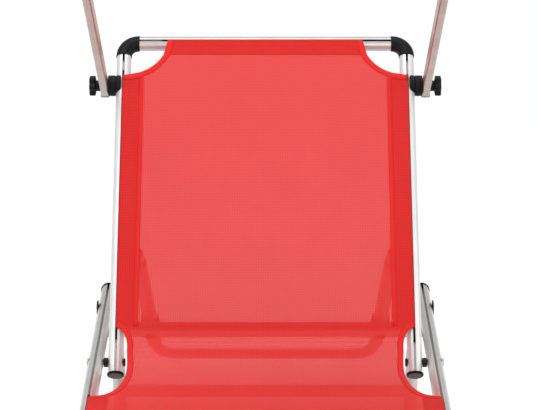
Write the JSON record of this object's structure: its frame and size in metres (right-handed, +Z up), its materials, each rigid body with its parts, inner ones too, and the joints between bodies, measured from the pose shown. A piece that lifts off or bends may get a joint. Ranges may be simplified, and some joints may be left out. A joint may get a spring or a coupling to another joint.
{
  "type": "sun lounger with canopy",
  "caption": "Folding sun lounger: slotted tube frame, mesh sling with cut-out corners, reclining backrest on a swinging prop, folding legs and foot section, tilting canopy on flat bar arms.",
  "frame": {"origin": "on the floor, under the middle of the whole object's bounding box", "axes": "+Z up, +Y towards the head end, -Y towards the foot end, +X to the right seen from the foot end"},
  "size_m": [0.6066, 1.6746, 1.1138],
  "materials": {
    "tube_aluminium": "satin anodised",
    "arm_aluminium": "satin anodised, slightly warmer",
    "black_plastic": "fine moulded grain",
    "black_metal": "satin black coat",
    "sling_mesh": "open woven, slightly see-through",
    "canopy_fabric": "woven, closer than the sling"
  },
  "bodies": {
    "seat_frame": {"rail_left": "tube_aluminium", "rail_right": "tube_aluminium", "rail_cap_left": "black_plastic", "rail_cap_right": "black_plastic", "seat_cross_tube": "tube_aluminium", "rear_cross_tube": "tube_aluminium", "recline_bolt_left": "black_metal", "recline_bolt_right": "black_metal", "rear_leg_bolt_left": "black_metal", "rear_leg_bolt_right": "black_metal", "middle_leg_bolt_left": "black_metal", "middle_leg_bolt_right": "black_metal", "foot_hinge_fixed_left": "black_metal", "foot_hinge_fixed_right": "black_metal", "seat_sling": "sling_mesh"},
    "backrest": {"back_tube_left": "tube_aluminium", "back_tube_right": "tube_aluminium", "back_top_tube": "tube_aluminium", "back_elbow_left": "black_plastic", "back_elbow_right": "black_plastic", "back_cross_tube": "tube_aluminium", "back_cap_left": "black_plastic", "back_cap_right": "black_plastic", "prop_rack_left": "black_plastic", "prop_rack_right": "black_plastic", "canopy_clamp_left": "black_plastic", "canopy_clamp_right": "black_plastic", "back_sling": "sling_mesh"},
    "prop": {"prop_bow": "tube_aluminium", "prop_sleeve_left": "tube_aluminium", "prop_sleeve_right": "tube_aluminium", "prop_clip_left": "black_plastic", "prop_clip_right": "black_plastic"},
    "canopy": {"canopy_arm_left": "arm_aluminium", "canopy_arm_right": "arm_aluminium", "canopy_rod_inner": "tube_aluminium", "canopy_rod_outer": "tube_aluminium", "canopy_cloth": "canopy_fabric"},
    "knob_left_body": {"knob_left": "black_plastic"},
    "knob_right_body": {"knob_right": "black_plastic"},
    "rear_leg": {"rear_leg": "tube_aluminium", "rear_leg_brace": "tube_aluminium", "rear_leg_pad_left": "black_plastic", "rear_leg_pad_right": "black_plastic"},
    "middle_leg": {"middle_leg": "tube_aluminium", "middle_leg_pad_left": "black_plastic", "middle_leg_pad_right": "black_plastic"},
    "foot_section": {"foot_tube_left": "tube_aluminium", "foot_tube_right": "tube_aluminium", "foot_end_tube": "tube_aluminium", "foot_elbow_left": "black_plastic", "foot_elbow_right": "black_plastic", "foot_hinge_moving_left": "black_metal", "foot_hinge_moving_right": "black_metal", "foot_leg_bolt_left": "black_metal", "foot_leg_bolt_right": "black_metal", "foot_sling": "sling_mesh"},
    "foot_leg": {"foot_leg": "tube_aluminium", "foot_leg_pad_left": "black_plastic", "foot_leg_pad_right": "black_plastic"}
  },
  "joints": [
    {"name": "recline", "type": "hinge", "parent": "seat_frame", "child": "backrest", "pos_m": [0, 0.41415, 0.28], "axis": [1, 0, 0], "range_deg": [-47, 13]},
    {"name": "prop_swing", "type": "hinge", "parent": "seat_frame", "child": "prop", "pos_m": [0, 0.63316, 0.256], "axis": [1, 0, 0], "range_deg": [-111, 31]},
    {"name": "canopy_tilt", "type": "hinge", "parent": "backrest", "child": "canopy", "pos_m": [0, 0.76675, 0.65811], "axis": [1, 0, 0], "range_deg": [-60, 35]},
    {"name": "knob_left_turn", "type": "hinge", "parent": "canopy", "child": "knob_left_body", "pos_m": [0, 0.76675, 0.65811], "axis": [1, 0, 0], "continuous": true},
    {"name": "knob_right_turn", "type": "hinge", "parent": "canopy", "child": "knob_right_body", "pos_m": [0, 0.76675, 0.65811], "axis": [1, 0, 0], "continuous": true},
    {"name": "rear_leg_fold", "type": "hinge", "parent": "seat_frame", "child": "rear_leg", "pos_m": [0, 0.68615, 0.28], "axis": [1, 0, 0], "range_deg": [0, 72]},
    {"name": "middle_leg_fold", "type": "hinge", "parent": "seat_frame", "child": "middle_leg", "pos_m": [0, -0.10584, 0.28], "axis": [1, 0, 0], "range_deg": [0, 72]},
    {"name": "foot_fold", "type": "hinge", "parent": "seat_frame", "child": "foot_section", "pos_m": [0, -0.23084, 0.2965], "axis": [-1, 0, 0], "range_deg": [0, 180]},
    {"name": "foot_leg_fold", "type": "hinge", "parent": "foot_section", "child": "foot_leg", "pos_m": [0, -0.70085, 0.28], "axis": [1, 0, 0], "range_deg": [0, 72]}
  ],
  "couplings": [
    {"joint": "prop_swing", "follows": "recline", "ratio": 2.35}
  ]
}
